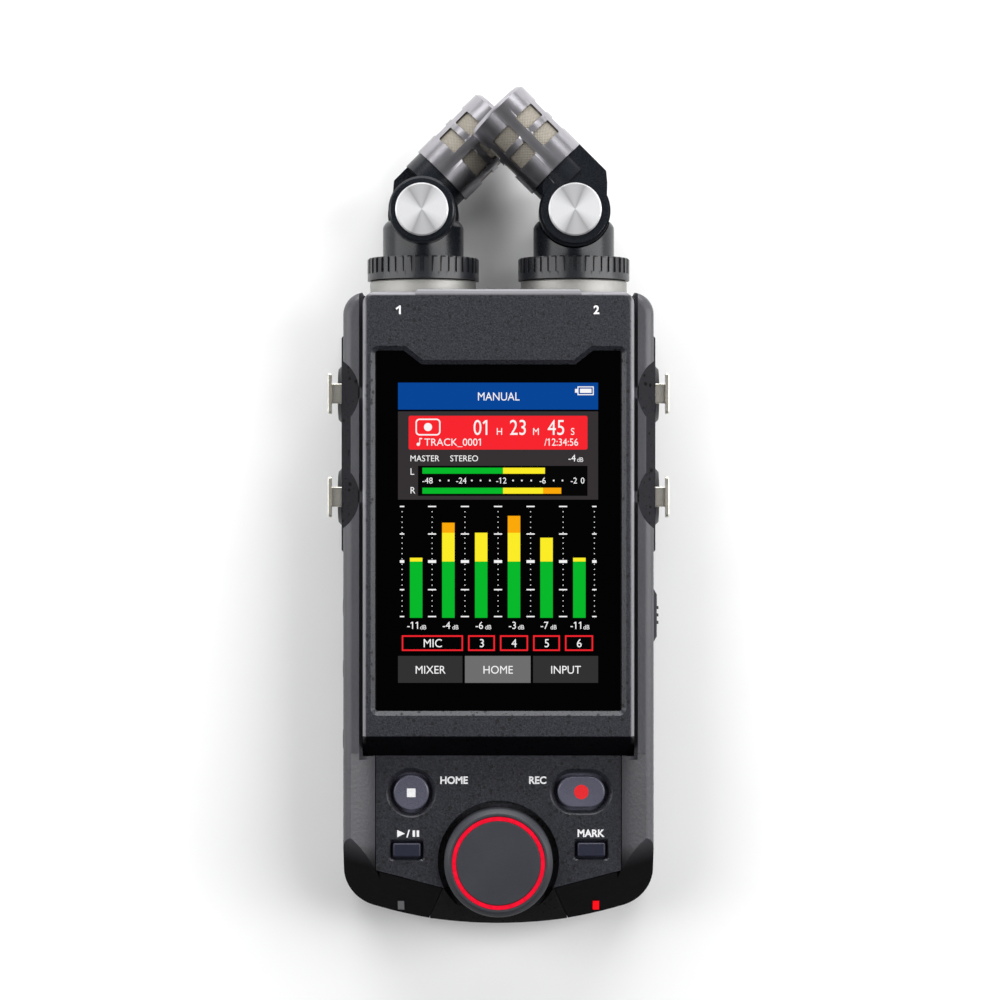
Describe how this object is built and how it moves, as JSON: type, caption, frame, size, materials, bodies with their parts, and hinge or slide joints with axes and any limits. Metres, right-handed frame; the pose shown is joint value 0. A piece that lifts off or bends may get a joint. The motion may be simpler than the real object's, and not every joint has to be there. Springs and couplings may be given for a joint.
{
  "type": "portable field recorder",
  "caption": "Hand-held audio field recorder with swivelling stereo microphones, touch screen, side combination jacks, keys and a jog wheel.",
  "frame": {"origin": "on the back face, under the middle of the recorder's bounding box", "axes": "+Z out of the screen, +Y along the case towards the microphones, +X to the right of the screen"},
  "size_m": [0.0852, 0.2091, 0.0346],
  "materials": {
    "case_plastic": "fine moulded grain",
    "frame_plastic": "speckled dark grey moulding",
    "deck_plastic": "speckled dark grey moulding",
    "bumper_plastic": "fine textured soft-touch",
    "jack_panel_plastic": "speckled dark grey moulding",
    "touch_glass": "polished, bonded to the display",
    "display_screen": "lit display",
    "circuit_board": "solder mask",
    "inner_plastic": "moulded",
    "cell_sleeve": "printed sleeve",
    "contact_metal": "plated",
    "speaker_cone": "treated paper",
    "insert_brass": "machined",
    "key_plastic": "satin",
    "wheel_rubber": "soft-touch",
    "red_ring": "translucent",
    "clear_lamp": "translucent",
    "red_lamp": "translucent",
    "switch_plastic": "moulded",
    "socket_plastic": "moulded with plated contacts",
    "screw_steel": "blackened",
    "jack_plastic": "moulded",
    "tab_metal": "satin nickel",
    "collar_metal": "satin silver",
    "ring_plastic": "ribbed moulding",
    "mic_plastic": "moulded",
    "disc_aluminium": "spun face",
    "capsule_metal": "satin nickel",
    "capsule_mesh": "woven mesh over foam",
    "element_metal": "plated"
  },
  "bodies": {
    "root": {"rear_cover": "case_plastic", "front_frame": "frame_plastic", "deck_panel": "deck_plastic", "chin_piece": "case_plastic", "left_bumper": "bumper_plastic", "right_bumper": "bumper_plastic", "left_jack_panel": "jack_panel_plastic", "right_jack_panel": "jack_panel_plastic", "touch_glass": "touch_glass", "display_module": "display_screen", "main_board": "circuit_board", "battery_tray": "inner_plastic", "battery_cells": "cell_sleeve", "battery_contacts": "contact_metal", "speaker": "speaker_cone", "tripod_insert": "insert_brass", "wheel_encoder": "contact_metal", "peak_lamp": "clear_lamp", "rec_lamp": "red_lamp", "phones_jack": "socket_plastic", "line_out_jack": "socket_plastic", "ext_in_jack": "socket_plastic", "usb_port": "contact_metal", "card_socket": "contact_metal", "case_screws": "screw_steel", "combo_jack_left_upper": "jack_plastic", "combo_jack_left_lower": "jack_plastic", "mic_collar_left": "collar_metal", "mic_column_left": "mic_plastic", "pivot_pin_left": "disc_aluminium", "combo_jack_right_upper": "jack_plastic", "combo_jack_right_lower": "jack_plastic", "mic_collar_right": "collar_metal", "mic_column_right": "mic_plastic", "pivot_pin_right": "disc_aluminium"},
    "wheel": {"jog_wheel": "wheel_rubber", "wheel_ring": "red_ring"},
    "battery_cover": {"battery_cover": "case_plastic"},
    "home_button": {"home_button": "key_plastic"},
    "rec_button": {"rec_button": "key_plastic"},
    "play_button": {"play_button": "key_plastic"},
    "mark_button": {"mark_button": "key_plastic"},
    "power_switch": {"power_switch": "switch_plastic"},
    "volume_up_button": {"volume_up_button": "switch_plastic"},
    "volume_down_button": {"volume_down_button": "switch_plastic"},
    "release_tab_left_upper": {"release_tab_left_upper": "tab_metal"},
    "release_tab_left_lower": {"release_tab_left_lower": "tab_metal"},
    "lock_ring_left": {"lock_ring_left": "ring_plastic"},
    "mic_left": {"mic_arm_left": "mic_plastic", "capsule_shell_left": "capsule_metal", "capsule_mesh_left": "capsule_mesh", "capsule_element_left": "element_metal"},
    "release_tab_right_upper": {"release_tab_right_upper": "tab_metal"},
    "release_tab_right_lower": {"release_tab_right_lower": "tab_metal"},
    "lock_ring_right": {"lock_ring_right": "ring_plastic"},
    "mic_right": {"mic_arm_right": "mic_plastic", "capsule_shell_right": "capsule_metal", "capsule_mesh_right": "capsule_mesh", "capsule_element_right": "element_metal"}
  },
  "joints": [
    {"name": "wheel_turn", "type": "hinge", "parent": "root", "child": "wheel", "pos_m": [0, -0.0883, 0], "axis": [0, 0, 1], "continuous": true},
    {"name": "home_press", "type": "slide", "parent": "root", "child": "home_button", "axis": [0, 0, -1], "range_m": [0, 0.0006], "stiffness_N_per_m": 600},
    {"name": "rec_press", "type": "slide", "parent": "root", "child": "rec_button", "axis": [0, 0, -1], "range_m": [0, 0.0006], "stiffness_N_per_m": 600},
    {"name": "play_press", "type": "slide", "parent": "root", "child": "play_button", "axis": [0, 0, -1], "range_m": [0, 0.0006], "stiffness_N_per_m": 600},
    {"name": "mark_press", "type": "slide", "parent": "root", "child": "mark_button", "axis": [0, 0, -1], "range_m": [0, 0.0006], "stiffness_N_per_m": 600},
    {"name": "volume_up_press", "type": "slide", "parent": "root", "child": "volume_up_button", "axis": [1, 0, 0], "range_m": [0, 0.0005], "stiffness_N_per_m": 600},
    {"name": "volume_down_press", "type": "slide", "parent": "root", "child": "volume_down_button", "axis": [1, 0, 0], "range_m": [0, 0.0005], "stiffness_N_per_m": 600},
    {"name": "power_slide", "type": "slide", "parent": "root", "child": "power_switch", "axis": [0, 1, 0], "range_m": [-0.0022, 0.0022]},
    {"name": "battery_cover_slide", "type": "slide", "parent": "root", "child": "battery_cover", "axis": [0, -1, 0], "range_m": [0, 0.012]},
    {"name": "release_left_upper_press", "type": "slide", "parent": "root", "child": "release_tab_left_upper", "axis": [1, 0, 0], "range_m": [0, 0.001], "stiffness_N_per_m": 600},
    {"name": "release_left_lower_press", "type": "slide", "parent": "root", "child": "release_tab_left_lower", "axis": [1, 0, 0], "range_m": [0, 0.001], "stiffness_N_per_m": 600},
    {"name": "lock_ring_left_turn", "type": "hinge", "parent": "root", "child": "lock_ring_left", "pos_m": [-0.01895, 0.0595, 0.0173], "axis": [0, 1, 0], "range_deg": [0, 60]},
    {"name": "mic_left_swing", "type": "hinge", "parent": "root", "child": "mic_left", "pos_m": [-0.01895, 0.0735, 0.0173], "axis": [0, 0, 1], "range_deg": [0, 90]},
    {"name": "release_right_upper_press", "type": "slide", "parent": "root", "child": "release_tab_right_upper", "axis": [-1, 0, 0], "range_m": [0, 0.001], "stiffness_N_per_m": 600},
    {"name": "release_right_lower_press", "type": "slide", "parent": "root", "child": "release_tab_right_lower", "axis": [-1, 0, 0], "range_m": [0, 0.001], "stiffness_N_per_m": 600},
    {"name": "lock_ring_right_turn", "type": "hinge", "parent": "root", "child": "lock_ring_right", "pos_m": [0.01895, 0.0595, 0.0173], "axis": [0, 1, 0], "range_deg": [0, 60]},
    {"name": "mic_right_swing", "type": "hinge", "parent": "root", "child": "mic_right", "pos_m": [0.01895, 0.0735, 0.0173], "axis": [0, 0, -1], "range_deg": [0, 90]}
  ]
}
